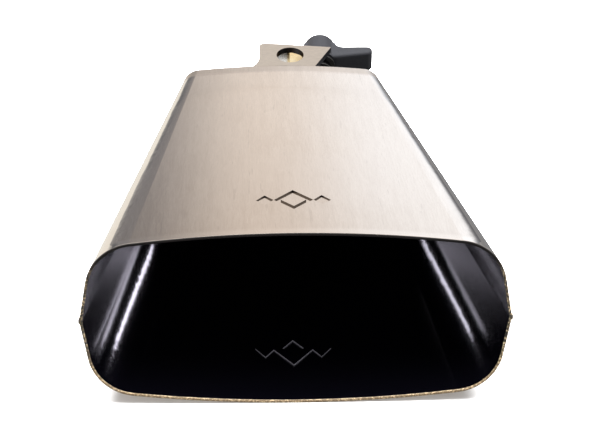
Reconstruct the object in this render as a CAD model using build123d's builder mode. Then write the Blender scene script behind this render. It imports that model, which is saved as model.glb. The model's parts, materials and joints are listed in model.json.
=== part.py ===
from build123d import *
import os
from math import atan, atan2, cos, radians, sin, sqrt, tan

os.makedirs("parts", exist_ok=True)

# Bell, measured along its own axis: the mouth section, the closed-end section and the sheet.
# A section is half width at the seam, half height on the crown line, side draft in degrees,
# corner radius and crown radius.
bell_length = 203.0
mouth_section = (67.5, 29.2, 10.0, 16.0, 430.0)
end_section = (40.5, 16.5, 11.0, 6.5, 340.0)
end_bend = 4.5
sheet = 1.0
rim_radius = 0.3
mouth_overrun = 2.0
seam_weld_width = 1.6
seam_weld_depth = 0.7
seam_weld_crown = 0.15

# Stamped ornament on each half: a lozenge ring between two small lozenges.
mark_distance = 32.0
mark_depth = 0.5
mark_wall = 0.5
lozenge_width = 10.4
lozenge_length = 16.0
lozenge_line = 1.9
lozenge_inset = 4.4
side_lozenge_width = 5.6
side_lozenge_length = 9.4
side_lozenge_spacing = 9.2

# Bracket: a folded channel on the end wall. Its flanges rise from the bell's axis by the tilt.
clamp_tilt = 15.0
plate = 2.5
channel_half_height = 11.55
flange_reach = 26.3
flange_reach_right = 22.7
fold_radius = 4.5
far_left_radius = 2.5
far_right_radius = 1.0
web_left = -15.0
web_right = 24.5
flange_left = -8.5
flange_right = 20.8
flange_root = 6.5
flare_start = 16.0
diagonal_end = 12.7
rod_x = 4.0
rod_reach = 17.1
rod_hole_radius = 5.5
weld_leg = 2.2
side_weld_half_length = 7.0

# Wing screw: an M6 screw beside the rod, parallel to the flanges.
screw_x = 17.0
screw_height = -1.2
screw_radius = 3.0
screw_clearance = 0.05
screw_front = 5.8
screw_back = 38.0
nut_block_size = 11.0
nut_block_back = 11.0
nut_block_corner = 1.5
thread_chamfer = 0.6

# Clamp jaw with a V for the rod, its washer and its retaining ring.
jaw_half_angle = 60.0
jaw_apex = 23.7
jaw_back = 26.7
jaw_half_height = 8.75
jaw_v_half_width = 7.2
jaw_tip_flat = 0.4
lug_front = 23.2
lug_half_height = 4.4
jaw_hole_clearance = 0.15
washer_front = 26.75
washer_thickness = 1.2
washer_radius = 6.0
ring_front = 22.35
ring_thickness = 0.7
ring_radius = 4.9
ring_gap = 4.4
groove_radius = 2.5
groove_width = 0.8

# Wing knob: a hub with two swept wings, moulded on a steel insert.
hub_front = 28.5
hub_back = 43.9
hub_radius = 6.6
hub_dome = 2.8
wing_half_length = 21.6
wing_half_height = 4.6
wing_back = 36.1
wing_tip_front = 31.0
wing_edge = 1.2
wing_tip_radius = 2.2
wing_blend = 3.4
insert_front = 28.05
insert_back = 38.5
insert_radius = 4.7
insert_flats = 8.2

# The bell lies on its lower half, with the origin on the floor under the middle of its length.
half_length = 124.26
lean = atan((mouth_section[1] - end_section[1]) / bell_length)
mouth_centre = (0, mouth_section[1] * sin(lean) - half_length, mouth_section[1] * cos(lean))

# Seam plane of the bell: X to the right, Y from the mouth to the closed end, Z out of the upper half.
bell = Plane(origin=mouth_centre, x_dir=(1, 0, 0), z_dir=(0, sin(lean), cos(lean)))

# Clamp plane: Y runs along the wing screw, away from the end wall, and Z is square to the flanges.
tilt = radians(clamp_tilt)
clamp = Plane(
    origin=bell.from_local_coords((0, bell_length, 0)),
    x_dir=(1, 0, 0),
    z_dir=bell.z_dir * cos(tilt) - bell.y_dir * sin(tilt),
)

# Screw plane: its origin is on the screw's axis and its normal is the axis.
screw = Plane(
    origin=clamp.from_local_coords((screw_x, 0, screw_height)),
    x_dir=(1, 0, 0),
    z_dir=clamp.y_dir,
)

along_bell = Axis(bell.origin, bell.y_dir)
along_screw = Axis(screw.origin, screw.z_dir)
across_flanges = Axis(clamp.origin, clamp.z_dir)


def station(distance, side):
    """Cross plane of the bell at a distance from the mouth. Side 1 is the upper half, -1 the lower."""
    origin = bell.from_local_coords((0, distance, 0))
    return Plane(origin=origin, x_dir=bell.x_dir * side, z_dir=-bell.y_dir)


def crown_plane(distance, side):
    """Plane that touches one half's crown line at a distance from the mouth, facing outwards."""
    height = mouth_section[1] + (end_section[1] - mouth_section[1]) * distance / bell_length
    origin = bell.from_local_coords((0, distance, side * height))
    outwards = bell.z_dir * side * cos(lean) + bell.y_dir * sin(lean)
    return Plane(origin=origin, x_dir=bell.x_dir, z_dir=outwards)


def half_outline(half_width, half_height, draft, corner, crown):
    """Half of the bell's section: drafted sides, round corners and a crowned face, closed at the seam."""
    slope = tan(radians(draft))
    crown_centre = half_height - crown
    reach = half_width - corner / cos(radians(draft))
    # The corner's centre is one corner radius inside both the side and the crown.
    mean = (reach * slope + crown_centre) / (1 + slope**2)
    product = (reach**2 + crown_centre**2 - (crown - corner) ** 2) / (1 + slope**2)
    centre_z = mean + sqrt(mean**2 - product)
    centre_x = reach - slope * centre_z
    first = radians(draft)
    last = atan2(centre_z - crown_centre, centre_x)
    side_end, middle, crown_end = (
        (centre_x + corner * cos(angle), centre_z + corner * sin(angle))
        for angle in (first, (first + last) / 2, last)
    )
    with BuildSketch() as outline:
        with BuildLine():
            Line((half_width, 0), side_end)
            ThreePointArc(side_end, middle, crown_end)
            ThreePointArc(crown_end, (0, half_height), (-crown_end[0], crown_end[1]))
            ThreePointArc((-crown_end[0], crown_end[1]), (-middle[0], middle[1]), (-side_end[0], side_end[1]))
            Line((-side_end[0], side_end[1]), (-half_width, 0))
            Line((-half_width, 0), (half_width, 0))
        make_face()
    return outline.sketch


def lozenge(width, length):
    """An upright lozenge."""
    with BuildSketch() as outline:
        with BuildLine():
            Polyline((width / 2, 0), (0, length / 2), (-width / 2, 0), (0, -length / 2), close=True)
        make_face()
    return outline.sketch


def ornament(grow):
    """The stamped ornament's outline, widened on every side by grow."""
    ring = (lozenge_line / 2 + grow) / lozenge_inset
    with BuildSketch() as stamp:
        add(lozenge(lozenge_width * (1 + ring), lozenge_length * (1 + ring)))
        add(lozenge(lozenge_width * (1 - ring), lozenge_length * (1 - ring)), mode=Mode.SUBTRACT)
        small = 1 + 2 * grow / side_lozenge_width
        with Locations((-side_lozenge_spacing, 0), (side_lozenge_spacing, 0)):
            add(lozenge(side_lozenge_width * small, side_lozenge_length * small))
    return stamp.sketch


def seam_outline(grow, end_grow, corner):
    """The bell's outline on the seam plane, moved outwards by grow at the sides and end_grow at the end."""
    mouth_x = mouth_section[0] + grow
    end_x = end_section[0] + grow
    end_y = bell_length + end_grow
    with BuildSketch() as outline:
        with BuildLine():
            FilletPolyline((-mouth_x, 0), (-end_x, end_y), (end_x, end_y), (mouth_x, 0), radius=corner)
            Line((mouth_x, 0), (-mouth_x, 0))
        make_face()
    return outline.sketch


def half_solid(side, inset, start):
    """One half of the bell as a solid, inset on every wall, from start to the closed end."""
    finish = bell_length - inset
    with BuildPart() as solid:
        for distance in (start, finish):
            share = distance / bell_length
            wide, high, draft, corner, crown = (
                at_mouth + (at_end - at_mouth) * share for at_mouth, at_end in zip(mouth_section, end_section)
            )
            with BuildSketch(station(distance, side)):
                wall = inset / cos(radians(draft))
                add(half_outline(wide - wall, high - inset, draft, corner - inset, crown - inset))
        loft(ruled=True)
        end_wall = solid.faces().sort_by(along_bell)[-1]
        seam_first = Axis(bell.origin, bell.z_dir * side)
        fillet(end_wall.edges().sort_by(seam_first)[1:], end_bend - inset)
    return solid.part


def half_shell(side):
    """One pressed half of the bell, open at the mouth and at the seam."""
    crown = crown_plane(mark_distance, side)
    with BuildPart() as shell:
        add(half_solid(side, 0, 0))
        add(half_solid(side, sheet, -mouth_overrun), mode=Mode.SUBTRACT)
        seam_first = Axis(bell.origin, bell.z_dir * side)
        rim = shell.faces().sort_by(along_bell)[0]
        fillet(rim.edges().sort_by(seam_first)[2:], rim_radius)
        with BuildSketch(crown.offset(-sheet - mark_depth)):
            add(ornament(mark_wall))
        extrude(amount=mark_depth + sheet / 2)
        with BuildSketch(crown.offset(-mark_depth)):
            add(ornament(0))
        extrude(amount=2 * mark_depth, mode=Mode.SUBTRACT)
        add(seam_weld.part, mode=Mode.SUBTRACT)
    return shell.part


def flange_outline():
    """A flange flares out to the web on the left and runs out diagonally to the screw on the right."""
    with BuildSketch() as outline:
        with BuildLine():
            Polyline(
                (flange_left, flare_start),
                (flange_left, flange_reach),
                (flange_right, flange_reach_right),
                (diagonal_end, flange_root),
                (web_left, flange_root),
            )
            TangentArc((flange_left, flare_start), (web_left, flange_root), tangent=(0, -1))
        make_face()
        far = outline.vertices().sort_by(Axis.Y)
        fillet(far[-1], far_left_radius)
        fillet(far[-2], far_right_radius)
    return outline.sketch


# Weld along both sides and round the closed end, where the two halves meet.
with BuildPart() as seam_weld:
    with BuildSketch(bell):
        add(seam_outline(seam_weld_crown, 0, end_bend))
        add(seam_outline(-seam_weld_depth, -seam_weld_depth, end_bend - seam_weld_depth), mode=Mode.SUBTRACT)
    extrude(amount=seam_weld_width / 2, both=True)
seam_weld.part.label = "seam_weld"
export_step(seam_weld.part, "parts/seam_weld.step")

upper_shell = half_shell(1)
upper_shell.label = "upper_shell"
export_step(upper_shell, "parts/upper_shell.step")

lower_shell = half_shell(-1)
lower_shell.label = "lower_shell"
export_step(lower_shell, "parts/lower_shell.step")

# Folded channel: the web lies on the end wall, and both flanges rise by the tilt.
flange_side = Plane(
    origin=clamp.from_local_coords((web_left, 0, 0)), x_dir=clamp.y_dir, z_dir=clamp.x_dir
)
wall_shift = channel_half_height * tan(tilt)
web_back = Plane(origin=bell.from_local_coords((0, bell_length + plate, 0)), z_dir=bell.y_dir)
with BuildPart() as bracket:
    with BuildSketch(flange_side):
        with BuildLine():
            FilletPolyline(
                (flange_reach, channel_half_height),
                (wall_shift, channel_half_height),
                (-wall_shift, -channel_half_height),
                (flange_reach, -channel_half_height),
                radius=fold_radius,
            )
            offset(amount=plate, side=Side.LEFT)
        make_face()
    extrude(amount=web_right - web_left)
    with BuildSketch(clamp):
        with Locations((0, flange_root + flange_reach)):
            Rectangle(4 * flange_reach, 2 * flange_reach)
        add(flange_outline(), mode=Mode.SUBTRACT)
        with Locations((rod_x, rod_reach)):
            Circle(rod_hole_radius)
    extrude(amount=flange_reach, both=True, mode=Mode.SUBTRACT)
bracket.part.label = "bracket"
export_step(bracket.part, "parts/bracket.step")

# Threaded block for the wing screw, welded to the web.
with BuildPart() as nut_block:
    with BuildSketch(screw):
        RectangleRounded(nut_block_size, nut_block_size, nut_block_corner)
    extrude(amount=nut_block_back)
    extrude(nut_block.faces().sort_by(along_screw)[0], amount=nut_block_size)
    split(bisect_by=web_back, keep=Keep.TOP)
    with BuildSketch(screw):
        Circle(screw_radius + screw_clearance)
    extrude(amount=2 * nut_block_back, both=True, mode=Mode.SUBTRACT)
    back_face = nut_block.faces().sort_by(along_screw)[-1]
    chamfer(back_face.edges().filter_by(GeomType.CIRCLE).sort_by(SortBy.RADIUS)[-1], thread_chamfer)
nut_block.part.label = "nut_block"
export_step(nut_block.part, "parts/nut_block.step")

# Weld beads between the web and the end wall: one along each fold and one at each side of the web.
wall_side = Plane(origin=bell.from_local_coords((0, bell_length, 0)), x_dir=bell.y_dir, z_dir=bell.x_dir)
fold_z = channel_half_height / cos(tilt)
with BuildPart() as bracket_welds:
    with BuildSketch(wall_side.offset(web_left)):
        for edge in (1, -1):
            with BuildLine():
                Polyline(
                    (0, edge * (fold_z - fold_radius)),
                    (0, edge * (fold_z + weld_leg)),
                    (weld_leg, edge * fold_z),
                    close=True,
                )
            make_face()
    extrude(amount=web_right - web_left)
    with BuildSketch(Plane(origin=wall_side.origin, x_dir=bell.x_dir, z_dir=bell.z_dir)):
        for edge, away in ((web_left, -1), (web_right, 1)):
            with BuildLine():
                Polyline((edge, 0), (edge + away * weld_leg, 0), (edge, weld_leg), close=True)
            make_face()
    extrude(amount=side_weld_half_length, both=True)
    add(bracket.part, mode=Mode.SUBTRACT)
bracket_welds.part.label = "bracket_welds"
export_step(bracket_welds.part, "parts/bracket_welds.step")

# Clamp jaw: a V across the rod between the flanges, with a lug on the screw.
jaw_slope = 1 / tan(radians(jaw_half_angle))
tip_front = jaw_apex - jaw_v_half_width * jaw_slope
jaw_left = rod_x - jaw_v_half_width - jaw_tip_flat
jaw_right = rod_x + jaw_v_half_width + jaw_tip_flat
with BuildPart() as clamp_jaw:
    with BuildSketch(clamp):
        with BuildLine():
            Polyline(
                (jaw_left, jaw_back),
                (jaw_left, tip_front),
                (rod_x - jaw_v_half_width, tip_front),
                (rod_x, jaw_apex),
                (rod_x + jaw_v_half_width, tip_front),
                (jaw_right, tip_front),
                (jaw_right, jaw_back),
                close=True,
            )
        make_face()
    extrude(amount=jaw_half_height, both=True)
    with BuildSketch(screw.offset(lug_front)):
        Circle(lug_half_height)
        with Locations((-lug_half_height, 0)):
            Rectangle(2 * lug_half_height, 2 * lug_half_height)
    extrude(amount=jaw_back - lug_front)
    with BuildSketch(screw):
        Circle(screw_radius + jaw_hole_clearance)
    extrude(amount=2 * jaw_back, mode=Mode.SUBTRACT)
clamp_jaw.part.label = "clamp_jaw"
export_step(clamp_jaw.part, "parts/clamp_jaw.step")

# Thrust washer behind the jaw.
with BuildPart() as jaw_washer:
    with BuildSketch(screw.offset(washer_front)):
        Circle(washer_radius)
        Circle(screw_radius + jaw_hole_clearance, mode=Mode.SUBTRACT)
    extrude(amount=washer_thickness)
jaw_washer.part.label = "jaw_washer"
export_step(jaw_washer.part, "parts/jaw_washer.step")

# Screw shank, grooved for the retaining ring that carries the jaw back when the screw is undone.
with BuildPart() as screw_shank:
    with BuildSketch(screw.offset(screw_front)):
        Circle(screw_radius)
    extrude(amount=screw_back - screw_front)
    chamfer(screw_shank.faces().sort_by(along_screw)[0].edges(), thread_chamfer)
    with BuildSketch(screw.offset(ring_front)):
        Circle(ring_radius)
        Circle(groove_radius, mode=Mode.SUBTRACT)
    extrude(amount=groove_width, mode=Mode.SUBTRACT)
screw_shank.part.label = "screw_shank"
export_step(screw_shank.part, "parts/screw_shank.step")

# Retaining ring, open on one side so that it clips into the groove.
with BuildPart() as retaining_ring:
    with BuildSketch(screw.offset(ring_front)):
        Circle(ring_radius)
        Circle(groove_radius, mode=Mode.SUBTRACT)
        with Locations((0, ring_radius)):
            Rectangle(ring_gap, 2 * ring_radius, mode=Mode.SUBTRACT)
    extrude(amount=ring_thickness)
retaining_ring.part.label = "retaining_ring"
export_step(retaining_ring.part, "parts/retaining_ring.step")

# Steel insert: a round collar in front of the hub and a hexagon inside it.
with BuildPart() as knob_insert:
    with BuildSketch(screw.offset(insert_front)):
        Circle(insert_radius)
    extrude(amount=hub_front - insert_front)
    with BuildSketch(screw.offset(hub_front)):
        RegularPolygon(insert_flats / 2, 6, major_radius=False)
    extrude(amount=insert_back - hub_front)
    with BuildSketch(screw):
        Circle(screw_radius)
    extrude(amount=screw_back, mode=Mode.SUBTRACT)
knob_insert.part.label = "knob_insert"
export_step(knob_insert.part, "parts/knob_insert.step")

# Wing knob: two wings swept back from the flanges, blended into a domed hub.
with BuildPart() as wing_knob:
    with BuildSketch(clamp.offset(screw_height)):
        for way in (1, -1):
            root = screw_x + way * hub_radius
            tip = screw_x + way * wing_half_length
            with BuildLine():
                Polyline(
                    (root, wing_back + wing_blend),
                    (screw_x, wing_back + wing_blend),
                    (screw_x, hub_front),
                    (root, hub_front),
                    (tip, wing_tip_front),
                    (tip, wing_back),
                    (root + way * wing_blend, wing_back),
                )
                RadiusArc((root + way * wing_blend, wing_back), (root, wing_back + wing_blend), way * wing_blend)
            make_face()
    extrude(amount=wing_half_height, both=True)
    upright = wing_knob.edges().filter_by(across_flanges).group_by(Axis.X)
    fillet(upright[0] + upright[-1], wing_tip_radius)
    broad_faces = wing_knob.faces().filter_by(across_flanges)
    fillet(broad_faces.edges(), wing_edge)
    with BuildSketch(screw.offset(hub_front)):
        Circle(hub_radius)
    extrude(amount=hub_back - hub_front)
    fillet(wing_knob.faces().sort_by(along_screw)[-1].edges(), hub_dome)
    add(knob_insert.part, mode=Mode.SUBTRACT)
    add(screw_shank.part, mode=Mode.SUBTRACT)
wing_knob.part.label = "wing_knob"
export_step(wing_knob.part, "parts/wing_knob.step")
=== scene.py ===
import json
from math import atan2, cos, pi, radians, sin

import bmesh
import bpy
from mathutils import Matrix, Vector


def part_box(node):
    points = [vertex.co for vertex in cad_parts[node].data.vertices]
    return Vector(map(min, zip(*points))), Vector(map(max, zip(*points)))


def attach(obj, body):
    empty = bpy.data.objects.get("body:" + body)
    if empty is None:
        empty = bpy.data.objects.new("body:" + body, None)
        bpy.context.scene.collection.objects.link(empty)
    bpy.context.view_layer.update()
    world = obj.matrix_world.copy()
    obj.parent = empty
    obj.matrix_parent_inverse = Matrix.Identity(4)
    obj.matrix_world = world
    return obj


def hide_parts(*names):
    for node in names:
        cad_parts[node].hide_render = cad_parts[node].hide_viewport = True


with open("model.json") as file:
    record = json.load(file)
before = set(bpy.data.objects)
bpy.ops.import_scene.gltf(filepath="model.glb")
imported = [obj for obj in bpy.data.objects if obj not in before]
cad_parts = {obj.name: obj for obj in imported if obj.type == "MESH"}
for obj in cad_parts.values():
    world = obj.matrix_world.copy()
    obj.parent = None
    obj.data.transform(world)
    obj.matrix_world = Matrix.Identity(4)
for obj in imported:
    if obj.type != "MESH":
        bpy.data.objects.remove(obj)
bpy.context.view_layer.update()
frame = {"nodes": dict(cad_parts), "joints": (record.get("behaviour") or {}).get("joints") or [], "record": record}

scene = bpy.context.scene
scene.view_settings.view_transform = "Standard"
nodes = frame["nodes"]
joints = {joint["name"]: joint for joint in frame["joints"]}
MM = 0.001

# The bell's own frame: the origin is the mouth's centre, Y runs to the closed end, Z out of the upper half.
SEAM_WIDTH = 1.6 * MM
seam_low, seam_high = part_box("seam_weld")
lean = atan2(seam_high.z - seam_low.z - SEAM_WIDTH, seam_high.y - seam_low.y)
mouth = Vector((0, seam_low.y + SEAM_WIDTH / 2 * sin(lean), seam_high.z - SEAM_WIDTH / 2 * cos(lean)))
bell_length = (seam_high.z - seam_low.z - SEAM_WIDTH) / sin(lean)
bell_y = Vector((0, cos(lean), -sin(lean)))
bell_z = Vector((0, sin(lean), cos(lean)))

# The wing screw's frame: the origin is on its axis at the end wall, and the axis points away from the bell.
screw_origin = Vector(joints["screw_turn"]["pos_m"])
screw_axis = -Vector(joints["screw_turn"]["axis"]).normalized()
screw_x = Vector((1, 0, 0))
screw_down = screw_axis.cross(screw_x)

# The bracket's web between its two ends, the legs of the beads round it, and the rod's middle.
bracket_low, bracket_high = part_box("bracket")
web_left, web_right = bracket_low.x, bracket_high.x
weld_leg = web_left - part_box("bracket_welds")[0].x
mounts = {mount["name"]: mount for mount in frame["record"]["mounts"]}
rod_x = mounts["rod_hole"]["pos_m"][0]

# Sheet, with the cut rim at its mouth.
SHEET = 1.0 * MM
RIM = 0.35 * MM

# Polished corners: half the brushed face's width at the mouth, and how it changes per metre along the bell.
POLISH_AT_MOUTH = 58.2 * MM
POLISH_TAPER = -0.113
POLISH_WANDER = 1.3 * MM
POLISH_HOOK = 1.6 * MM

# Stamped marks: how far they are from the mouth, and the half width and half length kept for them.
MARK_DISTANCE = 32 * MM
MARK_REACH = (15 * MM, 12 * MM)

# The top's crown: its height at the mouth, how that changes per metre, and its radius across the bell.
CROWN_AT_MOUTH = 29.2 * MM
CROWN_TAPER = -0.0626
CROWN_RADIUS = 430 * MM

# Screw thread: M6 with a 1 mm pitch. Crest and root are shares of the pitch, from the middle of the crest.
THREAD_PITCH = 1.0 * MM
THREAD_RADIUS = 3.0 * MM
THREAD_DEPTH = 0.6 * MM
THREAD_CREST = 1 / 12
THREAD_ROOT = 5 / 12
THREAD_NECK = 0.2
THREAD_FRONT = 5.8 * MM
THREAD_BACK = 38.0 * MM
GROOVE = (22.35 * MM, 23.15 * MM, 2.5 * MM)

# Weld beads between the bracket's web and the end wall. Depth and hollow are shares of the leg. The wander is
# an angle in radians and its length along the bead. The start is the size at a bead's ends, as a share of the
# full size, and the length over which it grows.
WELD_RIPPLE = 1.3 * MM
WELD_DEPTH = 0.06
WELD_HOLLOW = 0.2
WELD_LAG = 0.3 * MM
WELD_WANDER = (0.35, 2.1 * MM)
WELD_START = (0.55, 1.2 * MM)
SIDE_WELD_HALF = 7.0 * MM
FOLD_HEIGHT = 11.96 * MM

# The jaw's vee: how far its zinc reaches to each side of the rod.
VEE_REACH = 6.2 * MM

# Steel and lacquer of the shells.
BRUSHED_DARK = (0.71, 0.615, 0.53)
BRUSHED_LIGHT = (0.83, 0.735, 0.645)
BRUSHED_CLOUD = (0.80, 0.72, 0.65)
# Painted highlight: the lighter band where the lip rolls at the mouth and catches light.
LIP_PAINTED_HIGHLIGHT = (0.93, 0.84, 0.75)
SCRATCH = (0.45, 0.39, 0.34)
POLISHED_DARK = (0.84, 0.76, 0.66)
POLISHED_LIGHT = (0.90, 0.83, 0.73)
# Painted shade: the dark line along the polished corners' edge.
EDGE_SHADE_LINE = (0.10, 0.095, 0.10)
# Painted shade on the walls of the stamped marks.
MARK_WALL_SHADE = (0.07, 0.055, 0.05)
# Painted light on the cut rim: its dark reflection, a tan highlight below and gold glints.
RIM_DARK_REFLECTION = (0.012, 0.010, 0.009)
RIM_LOWER_HIGHLIGHT = (0.25, 0.175, 0.10)
RIM_GLINT = (0.80, 0.62, 0.38)
LACQUER = (0.0012, 0.0011, 0.0022)
LACQUER_DUST = (0.006, 0.0055, 0.009)
# Painted highlight on the raised mark's edges inside.
LACQUER_EDGE_HIGHLIGHT = (0.30, 0.29, 0.33)

# Clamp and weld finishes.
# Painted shade for the bracket's cut edges beyond the web.
CUT_EDGE_SHADE = ((0.030, 0.030, 0.036), (0.075, 0.070, 0.070))
ZINC = ((0.98, 0.84, 0.56), (0.92, 0.70, 0.38))
ZINC_BLUSH = (0.75, 0.60, 0.50)
# Painted highlight on the vee's left face, and painted shade on the rest of the jaw.
ZINC_LEFT_HIGHLIGHT = (1.0, 0.97, 0.92)
JAW_PAINTED_SHADE = (0.03, 0.03, 0.034)
WELD_METAL = ((0.62, 0.54, 0.46), (0.46, 0.36, 0.24))
WELD_BLUE = (0.26, 0.27, 0.33)
PLASTIC = ((0.0145, 0.0148, 0.0172), (0.0250, 0.0255, 0.0290))

# The wall behind the bell, from left to right by the direction's X: a pale flat, a dark gap, a glow that rises
# to a cool panel, another dark gap and a grey flat.
BACK_WALL = (
    (-1.0, (0.6, 0.58, 0.55)),
    (-0.34, (0.6, 0.57, 0.53)),
    (-0.28, (0.15, 0.15, 0.16)),
    (-0.14, (0.16, 0.16, 0.17)),
    (0.0, (0.63, 0.59, 0.56)),
    (0.13, (0.8, 0.84, 0.9)),
    (0.27, (0.82, 0.87, 0.94)),
    (0.33, (0.17, 0.17, 0.18)),
    (1.0, (0.5, 0.5, 0.5)),
)
BACK_WALL_SHADE = (0.77, 0.74, 0.71)
BACK_CEILING = (0.52, 0.51, 0.50)
BACK_FLOOR_LEFT = (0.59, 0.565, 0.525)
BACK_FLOOR_RIGHT = (0.166, 0.166, 0.175)
FRONT_WALL = (0.015, 0.015, 0.018)
FRONT_WALL_SIDES = (0.26, 0.26, 0.265)
FRONT_FLOOR = (0.05, 0.05, 0.055)
FRONT_FLOOR_SIDES = (0.75, 0.75, 0.75)
FRONT_CEILING = (0.45, 0.45, 0.46)
ROOM_STRENGTH = 1.5

# Lamps. Two at each side inside the mouth, a narrow glow and a broad haze, shine across to the opposite bend.
WHITE = (1, 1, 1)
VIOLET_WHITE = (0.88, 0.84, 1.0)
OVERHEAD_PLACE = (0.1, 0.3, 1.6)
OVERHEAD_SIZE = (2.2, 2.2)
OVERHEAD_POWER = 210
FILL_PLACE = (0, -1.6, 0.5)
FILL_AIM = (0, 0, 0.03)
FILL_SIZE = (0.8, 0.8)
FILL_POWER = 5
GLOW_PLACE = (0.019, 0.040, 0.023)
GLOW_AIM = (-0.040, -0.041, 0.020)
GLOW_SIZE = (0.044, 0.011)
GLOW_SPREAD = 38
GLOW_POWER = {-1: 0.0005, 1: 0.00085}
HAZE_POWER = 0.0001

# Camera: a long lens. It is turned to the right, tilted down and rolled anticlockwise, in degrees.
LENS = 124.6
SENSOR_WIDTH = 36.0
CAMERA_PLACE = (-0.0180, -0.6778, 0.3378)
YAW, PITCH, ROLL = 1.80, 26.18, 0.26


class Graph:
    """Short calls that add nodes to a node tree."""

    def __init__(self, tree):
        self.tree = tree

    def node(self, kind, inputs=None, **settings):
        made = self.tree.nodes.new("ShaderNode" + kind)
        for name, value in settings.items():
            setattr(made, name, value)
        for key, value in (inputs or {}).items():
            self.feed(made.inputs[key], value)
        return made

    def feed(self, socket, value):
        if isinstance(value, bpy.types.NodeSocket):
            self.tree.links.new(value, socket)
        elif socket.type == "RGBA":
            socket.default_value = (*value, 1)
        else:
            socket.default_value = value

    def math(self, operation, a, b=0.0):
        return self.node("Math", {0: a, 1: b}, operation=operation).outputs[0]

    def dot(self, a, b):
        return self.node("VectorMath", {0: a, 1: b}, operation="DOT_PRODUCT").outputs["Value"]

    def step(self, value, low, high):
        """Turns smoothly from 0 at low to 1 at high."""
        ends = {"Value": value, "From Min": low, "From Max": high}
        return self.node("MapRange", ends, interpolation_type="SMOOTHSTEP").outputs[0]

    def spread(self, value, low, high):
        """Takes a value from 0 to 1 to the range from low to high."""
        return self.node("MapRange", {"Value": value, "To Min": low, "To Max": high}).outputs[0]

    def mix(self, share, a, b, how="MIX"):
        sockets = {0: share, 6: a, 7: b}
        return self.node("Mix", sockets, data_type="RGBA", blend_type=how).outputs[2]

    def layer(self, color, share, other, most):
        """Lays another colour over a colour, at most this strongly, where the share is 1."""
        return self.mix(self.spread(share, 0, most), color, other)

    def blend(self, share, a, b):
        return self.node("Mix", {0: share, 2: a, 3: b}).outputs[0]

    def split(self, vector):
        return self.node("SeparateXYZ", {0: vector}).outputs


class Look(Graph):
    """A material, with short calls for its patterns."""

    def __init__(self, name):
        self.material = bpy.data.materials.new(name)
        self.material.use_nodes = True
        super().__init__(self.material.node_tree)
        self.surface = self.tree.nodes["Principled BSDF"]
        place = self.node("TexCoord")
        self.spot = place.outputs["Object"]
        self.normal = place.outputs["Normal"]

    def turned(self, vector, kind="POINT"):
        """A point or a direction in the bell's own frame."""
        spin = {"Vector": vector, "Rotation": (lean, 0, 0)}
        if kind == "POINT":
            spin["Location"] = -(Matrix.Rotation(lean, 3, "X") @ mouth)
        return self.node("Mapping", spin, vector_type=kind).outputs[0]

    def noise(self, vector, scale, detail=3.0, roughness=0.5):
        """Noise of one scale, or of a scale for each axis where three are given."""
        if isinstance(scale, tuple):
            vector = self.node("Mapping", {"Vector": vector, "Scale": scale}).outputs[0]
            scale = 1.0
        sockets = {"Vector": vector, "Scale": scale, "Detail": detail, "Roughness": roughness}
        return self.node("TexNoise", sockets).outputs[0]

    def bump(self, height, strength, distance):
        sockets = {"Height": height, "Strength": strength, "Distance": distance}
        return self.node("Bump", sockets).outputs[0]

    def finish(self, color, roughness, metallic, normal=None):
        self.feed(self.surface.inputs["Base Color"], color)
        self.feed(self.surface.inputs["Roughness"], roughness)
        self.feed(self.surface.inputs["Metallic"], metallic)
        if normal:
            self.feed(self.surface.inputs["Normal"], normal)
        return self.material


def grey(value, warmth=0.0):
    """A grey that leans to gold as warmth grows."""
    return (value * (1 + warmth), value, value * (1 - warmth))


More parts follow.
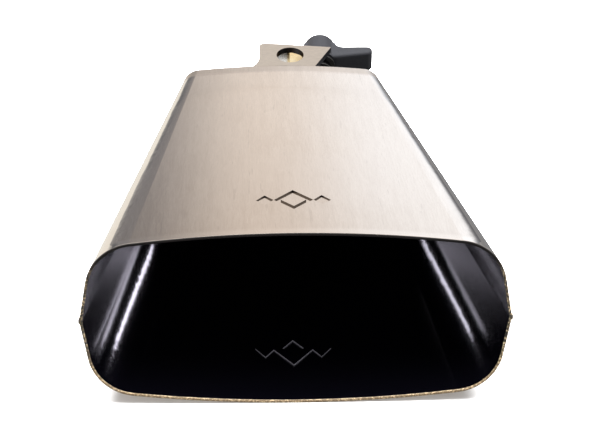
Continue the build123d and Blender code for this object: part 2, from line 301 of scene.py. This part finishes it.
class BellLook(Look):
    """The shells: brushed faces, polished corners and sides, a cut rim and black lacquer inside."""

    def __init__(self):
        super().__init__("bell_outside")
        self.at = self.turned(self.spot)
        self.x, self.y, self.z = self.split(self.at)
        self.width = self.math("ABSOLUTE", self.x)
        self.facing = self.turned(self.normal, "VECTOR")
        _, self.along, up = self.split(self.facing)
        self.level = self.math("ABSOLUTE", up)
        self.far_end = self.step(self.y, bell_length - 15 * MM, bell_length - 10 * MM)
        self.rim = self.step(self.y, RIM, 0.5 * RIM)

        # Grain runs along the bell. Clouds change the steel slowly from place to place.
        fine = self.noise(self.at, (2600, 30, 2600), detail=4.0, roughness=0.7)
        coarse = self.noise(self.at, (420, 7, 420), detail=3.0, roughness=0.6)
        self.grain = self.math("ADD", self.math("MULTIPLY", fine, 0.6), self.math("MULTIPLY", coarse, 0.4))
        self.cloud = self.noise(self.at, 22.0)
        self.dust = self.step(self.noise(self.at, 2400.0, detail=4.0, roughness=0.8), 0.55, 0.8)

        self.near_mark = self.find_mark()
        self.inside = self.find_inside()
        self.polished, self.edge_shade_line = self.find_polish()

    def find_mark(self):
        """1 in the two rectangles that hold the stamped marks."""
        from_mark = self.math("ABSOLUTE", self.math("SUBTRACT", self.y, MARK_DISTANCE))
        half_width, half_length = MARK_REACH
        beside = self.math("LESS_THAN", self.width, half_width)
        return self.math("MULTIPLY", beside, self.math("LESS_THAN", from_mark, half_length))

    def find_inside(self):
        """1 on the inner side of the sheet.

        The outer side's normal points away from the middle of the bell. Beside the marks the depth
        under the crown tells the two sides apart instead.
        """
        middle = (0, bell_length / 2, 0)
        from_middle = self.node("VectorMath", {0: self.at, 1: middle}, operation="SUBTRACT").outputs[0]
        by_normal = self.step(self.dot(self.facing, from_middle), 0.002, -0.002)
        crown = self.math("ADD", CROWN_AT_MOUTH, self.math("MULTIPLY", self.y, CROWN_TAPER))
        sag = self.math("MULTIPLY", self.math("MULTIPLY", self.x, self.x), 0.5 / CROWN_RADIUS)
        surface = self.math("SUBTRACT", crown, sag)
        depth = self.math("SUBTRACT", surface, self.math("ABSOLUTE", self.z))
        by_depth = self.step(depth, 0.7 * SHEET, 0.8 * SHEET)
        return self.blend(self.near_mark, by_normal, by_depth)

    def find_polish(self):
        """1 on the polished corners and sides, and 1 in a painted shade line along their edge, where the bend's
        reflection goes dark.

        The edge wanders and hooks inwards at the rim. The part beside the closed end is brushed, like
        the end wall.
        """
        wander = self.noise(self.at, (0, 26, 0), detail=2.0)
        hook = self.step(self.y, 6 * MM, 1.5 * MM)
        edge = self.math("ADD", self.math("MULTIPLY", self.y, POLISH_TAPER), POLISH_AT_MOUTH)
        edge = self.math("ADD", edge, self.spread(wander, -POLISH_WANDER, POLISH_WANDER))
        edge = self.math("SUBTRACT", edge, self.spread(hook, 0, POLISH_HOOK))
        past = self.math("SUBTRACT", self.width, edge)
        unpolished = self.math("MAXIMUM", self.far_end, self.step(self.along, 0.6, 0.8))
        kept = self.math("SUBTRACT", 1.0, unpolished)
        polished = self.math("MULTIPLY", self.step(past, 0, 0.25 * MM), kept)
        # Painted shade: a dark line on the brushed side of the polished edge.
        before = self.step(past, -2.2 * MM, -0.3 * MM)
        line = self.math("MULTIPLY", before, self.step(past, 0.2 * MM, 0))
        return polished, self.math("MULTIPLY", line, kept)

    def steel(self):
        """Brushed steel with clouds and deep scratches, a painted highlight along the lip at the mouth, a painted
        shade line along the polished edge, and brighter steel where it is polished.
        """
        deep = self.step(self.noise(self.at, (900, 12, 900), detail=2.0), 0.66, 0.72)
        lip_highlight = self.step(self.y, 6 * MM, 2.5 * MM)
        color = self.mix(self.step(self.grain, 0.3, 0.7), BRUSHED_DARK, BRUSHED_LIGHT)
        color = self.layer(color, self.step(self.cloud, 0.3, 0.7), BRUSHED_CLOUD, most=0.25)
        color = self.layer(color, deep, SCRATCH, most=0.22)
        # Painted highlight: a lighter band along the lip, where its roll catches light.
        color = self.layer(color, lip_highlight, LIP_PAINTED_HIGHLIGHT, most=0.5)
        bright = self.mix(self.step(self.cloud, 0.35, 0.65), POLISHED_DARK, POLISHED_LIGHT)
        color = self.mix(self.polished, color, bright)
        # Painted shade along the polished edge.
        return self.layer(color, self.edge_shade_line, EDGE_SHADE_LINE, most=0.72)

    def cut_edge(self):
        """The rim, painted as its reflections: a painted dark reflection above, a painted tan highlight below, and
        painted gold glints at the sides and below.
        """
        glint = self.step(self.noise(self.at, 1300.0, roughness=0.8), 0.50, 0.60)
        wide = self.step(self.width, 50 * MM, 60 * MM)
        at_side = self.math("MULTIPLY", wide, self.step(self.z, 20 * MM, 12 * MM))
        lower_highlight = self.step(self.z, -6 * MM, -22 * MM)
        color = self.layer(RIM_DARK_REFLECTION, lower_highlight, RIM_LOWER_HIGHLIGHT, most=0.9)
        glints = self.math("MULTIPLY", glint, self.math("MAXIMUM", at_side, lower_highlight))
        return self.mix(glints, color, RIM_GLINT)

    def lacquer(self):
        """Black lacquer with overspray dust, and a painted highlight on the upright edges of the raised mark."""
        color = self.layer(LACQUER, self.dust, LACQUER_DUST, most=0.5)
        # Painted highlight on the inner mark's upright edges, broken up by the dust.
        upright = self.math("MULTIPLY", self.step(self.level, 0.85, 0.6), self.near_mark)
        sheen = self.math("MULTIPLY", upright, self.step(self.dust, 0.9, 0.2))
        return self.mix(sheen, color, LACQUER_EDGE_HIGHLIGHT)

    def color(self):
        outside = self.mix(self.rim, self.steel(), self.cut_edge())
        # Painted shade: the stamped marks' recess walls are darkened where shade falls.
        mark_wall = self.math("MULTIPLY", self.near_mark, self.step(self.level, 0.97, 0.88))
        outside = self.layer(outside, mark_wall, MARK_WALL_SHADE, most=0.85)
        return self.mix(self.inside, outside, self.lacquer())

    def roughness(self):
        brushed = self.spread(self.grain, 0.11, 0.19)
        amount = self.blend(self.polished, brushed, self.spread(self.cloud, 0.07, 0.14))
        amount = self.blend(self.math("MULTIPLY", self.far_end, 0.6), amount, 0.50)
        amount = self.blend(self.rim, amount, 0.30)
        return self.blend(self.inside, amount, self.spread(self.dust, 0.12, 0.24))

    def relief(self):
        """Grain on the brushed steel and orange peel in the lacquer."""
        grain = self.math("MULTIPLY", self.grain, self.math("SUBTRACT", 1.0, self.polished))
        peel = self.math("MULTIPLY", self.noise(self.at, 900.0, detail=2.0), 2.5)
        return self.bump(self.blend(self.inside, grain, peel), strength=0.12, distance=0.03 * MM)


def bell_look():
    """The shells' material, whose highlights stretch across the grain."""
    look = BellLook()
    look.surface.inputs["Anisotropic"].default_value = 0.6
    look.surface.inputs["IOR"].default_value = 1.6
    tangent = look.node("Tangent", direction_type="RADIAL", axis="Y").outputs[0]
    look.feed(look.surface.inputs["Tangent"], tangent)
    metallic = look.math("SUBTRACT", 1.0, look.math("MAXIMUM", look.inside, look.rim))
    return look.finish(look.color(), look.roughness(), metallic, look.relief())


def oxide_look():
    """Black oxide on steel, with clouding and small pits."""
    look = Look("screw_steel")
    light, dark, warmth = 0.075, 0.035, 0.02
    grain = look.noise(look.spot, (1500, 1500, 1500), detail=4.0, roughness=0.65)
    cloud = look.noise(look.spot, 90.0)
    pits = look.step(look.noise(look.spot, 1300.0, roughness=0.7), 0.64, 0.72)
    color = look.mix(look.step(grain, 0.3, 0.7), grey(dark, warmth), grey(light, warmth))
    color = look.layer(color, cloud, grey((light + dark) / 2, warmth * 1.5), most=0.5)
    color = look.layer(color, pits, grey(dark * 0.4, warmth), most=0.6)
    rough = look.math("ADD", look.spread(grain, 0.36, 0.48), look.spread(pits, 0, 0.15))
    relief = look.bump(look.math("SUBTRACT", grain, pits), strength=0.2, distance=0.03 * MM)
    return look.finish(color, rough, 0.85, relief)


def bracket_look():
    """Brushed plate whose cut edges, beyond the web, carry painted shade."""
    look = Look("bracket_steel")
    grain = look.noise(look.spot, (420, 2600, 2600), detail=4.0, roughness=0.65)
    cloud = look.noise(look.spot, 90.0)
    color = look.mix(look.step(grain, 0.3, 0.7), grey(0.62, 0.12), grey(0.75, 0.12))
    color = look.layer(color, cloud, grey(0.69, 0.15), most=0.4)
    level = look.math("ABSOLUTE", look.dot(look.normal, screw_down))
    _, y, _ = look.split(look.turned(look.spot))
    beyond = look.step(y, bell_length + 3.2 * MM, bell_length + 4.0 * MM)
    # Painted shade: the cut edges beyond the web are darkened where shade falls.
    cut = look.math("MULTIPLY", look.step(level, 0.80, 0.45), beyond)
    color = look.mix(cut, color, look.mix(cloud, *CUT_EDGE_SHADE))
    relief = look.bump(grain, strength=0.2, distance=0.03 * MM)
    return look.finish(color, look.spread(grain, 0.28, 0.42), 1.0, relief)


def zinc_look():
    """Yellow zinc plating in the jaw's vee, with a painted highlight on its left face, and painted shade in black
    on the rest of the jaw, under the bracket's flange.
    """
    look = Look("jaw_zinc")
    cloud = look.noise(look.spot, 160.0, detail=4.0, roughness=0.6)
    fine = look.noise(look.spot, 1400.0)
    x, _, _ = look.split(look.spot)
    color = look.mix(look.step(cloud, 0.35, 0.65), *ZINC)
    color = look.layer(color, look.step(fine, 0.5, 0.8), ZINC_BLUSH, most=0.4)
    # Painted highlight: the vee's left face made paler.
    color = look.mix(look.step(x, rod_x - 0.5 * MM, rod_x - 1.5 * MM), color, ZINC_LEFT_HIGHLIGHT)
    # Painted shade: the jaw outside its vee made black, where the flange shades it.
    from_rod = look.math("ABSOLUTE", look.math("SUBTRACT", x, rod_x))
    color = look.mix(look.step(from_rod, VEE_REACH, VEE_REACH + 0.6 * MM), color, JAW_PAINTED_SHADE)
    relief = look.bump(fine, strength=0.2, distance=0.03 * MM)
    return look.finish(color, look.spread(fine, 0.16, 0.30), 1.0, relief)


def weld_look():
    """Weld metal with straw and blue heat colours."""
    look = Look("weld")
    heat = look.noise(look.spot, 260.0, roughness=0.6)
    fine = look.noise(look.spot, 1700.0, roughness=0.7)
    color = look.mix(look.step(heat, 0.35, 0.55), *WELD_METAL)
    color = look.mix(look.step(heat, 0.56, 0.68), color, WELD_BLUE)
    relief = look.bump(fine, strength=0.3, distance=0.05 * MM)
    return look.finish(color, look.spread(fine, 0.25, 0.5), 1.0, relief)


def plastic_look():
    """Moulded black plastic with a fine spark texture and a slight sheen where hands polish it."""
    look = Look("knob_plastic")
    spark = look.noise(look.spot, 2600.0, roughness=0.7)
    sheen = look.step(look.noise(look.spot, 70.0), 0.4, 0.7)
    color = look.mix(look.step(spark, 0.3, 0.75), *PLASTIC)
    rough = look.math("SUBTRACT", look.spread(spark, 0.38, 0.50), look.spread(sheen, 0, 0.08))
    look.surface.inputs["IOR"].default_value = 1.3
    return look.finish(color, rough, 0.0, look.bump(spark, strength=0.35, distance=0.05 * MM))


def floor_look():
    """Pale paper with a faint mottle."""
    look = Look("floor")
    mottle = look.noise(look.spot, 3.0, detail=2.0)
    return look.finish(look.mix(mottle, grey(0.89), grey(0.91)), 0.8, 0.0)


def dress():
    """Gives every carried-over CAD node its material."""
    shell, bracket, oxide, weld = bell_look(), bracket_look(), oxide_look(), weld_look()
    looks = {
        "upper_shell": shell,
        "lower_shell": shell,
        "seam_weld": weld,
        "bracket": bracket,
        "bracket_welds": weld,
        "nut_block": bracket,
        "clamp_jaw": zinc_look(),
        "jaw_washer": oxide,
        "screw_shank": oxide,
        "retaining_ring": oxide,
        "knob_insert": oxide,
        "wing_knob": plastic_look(),
    }
    for name, look in looks.items():
        materials = nodes[name].data.materials
        materials.clear()
        materials.append(look)
    return looks


def soften(name, width, segments=3):
    """Rounds the sharp edges of a CAD node."""
    bevel = nodes[name].modifiers.new("edges", "BEVEL")
    bevel.width = width
    bevel.segments = segments
    bevel.limit_method = "ANGLE"
    bevel.angle_limit = radians(40)
    bevel.harden_normals = True


def piece(name, rows, look, body, slot, *replaced):
    """A mesh skinned over rows of points, closed round each row and capped at both ends."""
    build = bmesh.new()
    rings = [[build.verts.new(point) for point in row] for row in rows]
    for first, second in zip(rings, rings[1:]):
        for i in range(len(first)):
            j = (i + 1) % len(first)
            build.faces.new((first[i], first[j], second[j], second[i]))
    build.faces.new(rings[0][::-1])
    build.faces.new(rings[-1])
    bmesh.ops.recalc_face_normals(build, faces=build.faces)
    mesh = bpy.data.meshes.new(name)
    build.to_mesh(mesh)
    build.free()
    mesh.shade_smooth()
    mesh.materials.append(look)
    obj = bpy.data.objects.new(name, mesh)
    scene.collection.objects.link(obj)
    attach(obj, body)
    if replaced:
        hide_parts(*replaced)


def screw_point(angle, radius, along):
    """A point round the screw's axis. Angles turn from X towards the underside."""
    return screw_origin + screw_axis * along + (screw_x * cos(angle) + screw_down * sin(angle)) * radius


def thread_radius(angle, along):
    """A right-hand thread that runs out at both ends and stops at the ring's groove."""
    groove_front, groove_back, groove_radius = GROOVE
    if groove_front < along < groove_back:
        return groove_radius
    turn = (along / THREAD_PITCH - angle / (2 * pi)) % 1
    height = (THREAD_ROOT - abs(turn - 0.5)) / (THREAD_ROOT - THREAD_CREST)
    crest = min(1.0, max(0.0, height))
    lead_in = min(1.0, (along - THREAD_FRONT) / THREAD_PITCH)
    run_out = min(1.0, (THREAD_BACK - along) / THREAD_PITCH)
    start = THREAD_RADIUS - THREAD_DEPTH * (1 + THREAD_NECK * (1 - min(lead_in, run_out)))
    return start + THREAD_DEPTH * crest * min(lead_in, run_out)


def screw_thread(look):
    """The wing screw's shank with its thread."""
    around = 40
    step = THREAD_PITCH / 12
    count = round((THREAD_BACK - THREAD_FRONT) / step)
    angles = [2 * pi * i / around for i in range(around)]
    rows = []
    for k in range(count + 1):
        along = THREAD_FRONT + step * k
        rows.append([screw_point(angle, thread_radius(angle, along), along) for angle in angles])
    piece("screw_thread", rows, look, "wing_screw", "screw_steel", "screw_shank")


def bell_point(x, y, z):
    """A point given in the bell's own frame."""
    return mouth + Vector((x, 0, 0)) + bell_y * y + bell_z * z


def weld_row(root, out, up, run, at, length):
    """One section of a bead: a rippled, hollow quarter round between the wall and the plate."""
    arc = 8
    wander, wander_length = WELD_WANDER
    wave = abs(sin(pi * at / WELD_RIPPLE + wander * sin(at / wander_length)))
    start, start_length = WELD_START
    taper = min(1.0, start + min(at, length - at) / start_length)
    size = weld_leg * (1 - WELD_DEPTH * (1 - wave)) * taper
    row = [root + run * at]
    for k in range(arc + 1):
        angle = pi / 2 * k / arc
        reach = size * (1 - WELD_HOLLOW * (1 - cos(4 * angle)))
        row.append(root + run * (at - WELD_LAG * sin(2 * angle)) + (out * cos(angle) + up * sin(angle)) * reach)
    return row


def weld_beads(look):
    """Four rippled beads: one along each fold of the bracket and one at each side of its web."""
    across = web_right - web_left
    upright = 2 * SIDE_WELD_HALF
    beads = (
        ("fold_weld_upper", (web_left, FOLD_HEIGHT), bell_z, screw_x, across, ["bracket_welds"]),
        ("fold_weld_lower", (web_left, -FOLD_HEIGHT), -bell_z, screw_x, across, []),
        ("side_weld_left", (web_left, -SIDE_WELD_HALF), -screw_x, bell_z, upright, []),
        ("side_weld_right", (web_right, -SIDE_WELD_HALF), screw_x, bell_z, upright, []),
    )
    for name, (x, z), up, run, length, replaced in beads:
        root = bell_point(x, bell_length, z)
        count = round(length / (0.25 * MM))
        rows = [weld_row(root, bell_y, up, run, length * k / count, length) for k in range(count + 1)]
        piece(name, rows, look, "bell", "weld", *replaced)


def floor():
    """A plain pale floor. Mirrors and bounce light see the studio instead of it."""
    bpy.ops.mesh.primitive_plane_add(size=8)
    obj = bpy.context.object
    obj.name = "floor"
    obj.data.materials.append(floor_look())
    obj.visible_glossy = False
    obj.visible_diffuse = False


def camera():
    """A long lens looking down into the mouth."""
    data = bpy.data.cameras.new("camera")
    data.lens = LENS
    data.sensor_width = SENSOR_WIDTH
    data.clip_end = 20.0
    obj = bpy.data.objects.new("camera", data)
    scene.collection.objects.link(obj)
    to_right = Matrix.Rotation(-radians(YAW), 4, "Z")
    down = Matrix.Rotation(radians(90) - radians(PITCH), 4, "X")
    roll = Matrix.Rotation(radians(ROLL), 4, "Z")
    obj.matrix_world = Matrix.Translation(CAMERA_PLACE) @ to_right @ down @ roll
    scene.camera = obj


def area_light(name, place, target, size, power, mirrored, spread=180):
    """A rectangular lamp, seen either only in reflections or only as light on rough surfaces."""
    data = bpy.data.lights.new(name, "AREA")
    data.shape = "RECTANGLE"
    data.size, data.size_y = size
    data.energy = power
    data.color = VIOLET_WHITE if mirrored else WHITE
    data.spread = radians(spread)
    obj = bpy.data.objects.new(name, data)
    scene.collection.objects.link(obj)
    away = Vector(place) - Vector(target)
    obj.location = place
    obj.rotation_euler = away.to_track_quat("Z", "Y").to_euler()
    obj.visible_glossy = mirrored
    obj.visible_diffuse = not mirrored
    obj.visible_camera = False


def lamps():
    """A broad overhead lamp, a weak front fill, and a narrow and a broad lamp at each side inside the mouth."""
    area_light("overhead", OVERHEAD_PLACE, (0, 0, 0), OVERHEAD_SIZE, OVERHEAD_POWER, mirrored=False)
    area_light("front_fill", FILL_PLACE, FILL_AIM, FILL_SIZE, FILL_POWER, mirrored=False)
    for side, power in GLOW_POWER.items():
        place = (side * GLOW_PLACE[0], *GLOW_PLACE[1:])
        aim = (side * GLOW_AIM[0], *GLOW_AIM[1:])
        area_light("inner_glow", place, aim, GLOW_SIZE, power, mirrored=True, spread=GLOW_SPREAD)
        area_light("inner_haze", place, aim, GLOW_SIZE, HAZE_POWER, mirrored=True)


def ramp(graph, value, stops):
    """Colours by a value from -1 to 1, from a list of (value, colour)."""
    share = graph.node("MapRange", {"Value": value, "From Min": -1}).outputs[0]
    made = graph.node("ValToRGB", {0: share})
    made.color_ramp.interpolation = "EASE"
    points = made.color_ramp.elements
    while len(points) < len(stops):
        points.new(0.5)
    for point, (at, color) in zip(points, stops):
        point.position = (at + 1) / 2
        point.color = (*color, 1)
    return made.outputs[0]


def room():
    """What the metal mirrors: a graded wall behind the bell, a pale ceiling and a dark room in front."""
    world = bpy.data.worlds.new("studio")
    scene.world = world
    world.use_nodes = True
    graph = Graph(world.node_tree)
    dx, dy, dz = graph.split(graph.node("TexCoord").outputs["Generated"])

    wall = graph.mix(graph.step(dz, 0.15, 0.24), ramp(graph, dx, BACK_WALL), BACK_WALL_SHADE, "MULTIPLY")
    above = graph.mix(graph.step(dz, 0.30, 0.65), wall, BACK_CEILING)
    below = graph.mix(graph.step(dx, -0.06, 0.10), BACK_FLOOR_LEFT, BACK_FLOOR_RIGHT)
    behind = graph.mix(graph.step(dz, -0.03, -0.12), above, below)

    to_side = graph.step(graph.math("ABSOLUTE", dx), 0.35, 0.60)
    level = graph.mix(to_side, FRONT_WALL, FRONT_WALL_SIDES)
    down = graph.mix(to_side, FRONT_FLOOR, FRONT_FLOOR_SIDES)
    front = graph.mix(graph.step(dz, -0.25, -0.50), level, down)
    front = graph.mix(graph.step(dz, 0.10, 0.45), front, FRONT_CEILING)

    background = graph.tree.nodes["Background"]
    graph.feed(background.inputs["Color"], graph.mix(graph.step(dy, 0.15, -0.25), behind, front))
    background.inputs["Strength"].default_value = ROOM_STRENGTH


looks = dress()
for name in ("bracket", "nut_block", "clamp_jaw"):
    soften(name, 0.35 * MM)
for name in ("jaw_washer", "retaining_ring", "knob_insert"):
    soften(name, 0.12 * MM, 2)
screw_thread(looks["screw_shank"])
weld_beads(looks["bracket_welds"])
floor()
room()
lamps()
camera()
